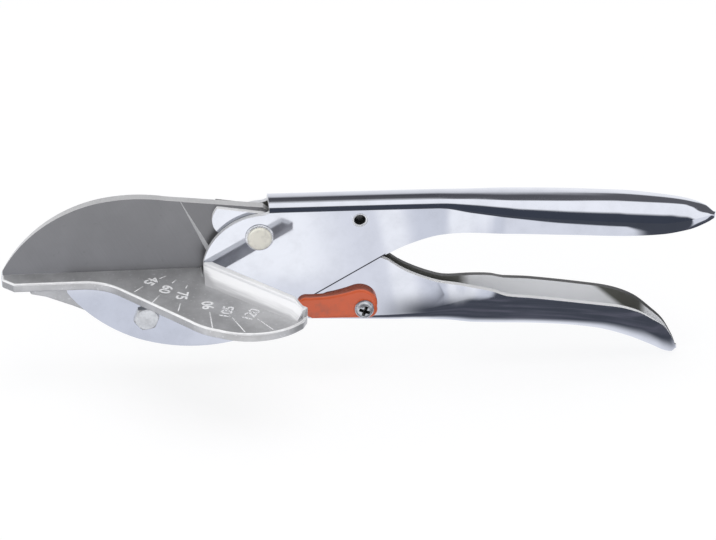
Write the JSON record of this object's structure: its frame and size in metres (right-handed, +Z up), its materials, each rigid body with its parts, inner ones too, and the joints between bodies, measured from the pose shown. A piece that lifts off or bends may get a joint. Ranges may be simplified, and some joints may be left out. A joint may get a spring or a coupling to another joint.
{
  "type": "anvil mitre shears",
  "caption": "Hand-held mitre guillotine: two crossing pressed-steel handles, knife blade over a cast mitre table with angle scale and 45 degree fence, thumb latch.",
  "frame": {"origin": "on the table's cutting surface, in the blade's mid-plane, under the heel of the cutting edge, with the shears closed", "axes": "+X runs from the blade towards the ends of the handles, +Y away from the side the latch is on, +Z up off the table; row_k 1, metres"},
  "size_m": [0.2519, 0.0605, 0.0705],
  "materials": {
    "handle_chrome": "bright nickel-chrome plate on pressed steel",
    "blade_steel": "ground carbon tool steel, fine lengthwise grind",
    "cast_table": "die-cast zinc alloy, satin tumbled, bright edges",
    "plated_steel": "zinc-plated fasteners",
    "bare_steel": "turned mild steel pins",
    "bronze": "sintered bronze bearing sleeves",
    "spring_wire": "oil-tempered spring wire",
    "latch_red": "orange-red baked enamel on die-cast zinc"
  },
  "bodies": {
    "anvil_frame": {"anvil_handle": "handle_chrome", "mitre_table": "cast_table", "table_bolt": "plated_steel", "table_nut": "plated_steel", "pivot_bolt": "plated_steel", "pivot_near_washer": "handle_chrome", "pivot_far_washer": "plated_steel", "pivot_nut": "plated_steel", "cross_pin": "bare_steel"},
    "blade_lever": {"blade_handle": "handle_chrome", "blade": "blade_steel", "blade_rivet": "bare_steel", "pivot_bush": "bronze", "spring_post": "bare_steel", "handle_spring": "spring_wire", "latch_screw": "plated_steel", "latch_washer": "plated_steel", "latch_spacer": "bare_steel", "latch_nut": "plated_steel"},
    "latch": {"latch_lever": "latch_red", "latch_bush": "bronze"}
  },
  "joints": [
    {"name": "jaw_pivot", "type": "hinge", "parent": "anvil_frame", "child": "blade_lever", "pos_m": [0.0205, 0, 0.0145], "axis": [0, 1, 0], "range_deg": [0, 30], "deforming": ["handle_spring"]},
    {"name": "latch_pivot", "type": "hinge", "parent": "blade_lever", "child": "latch", "pos_m": [0.0574, 0, -0.0142], "axis": [0, 1, 0], "range_deg": [-28, 0]}
  ]
}
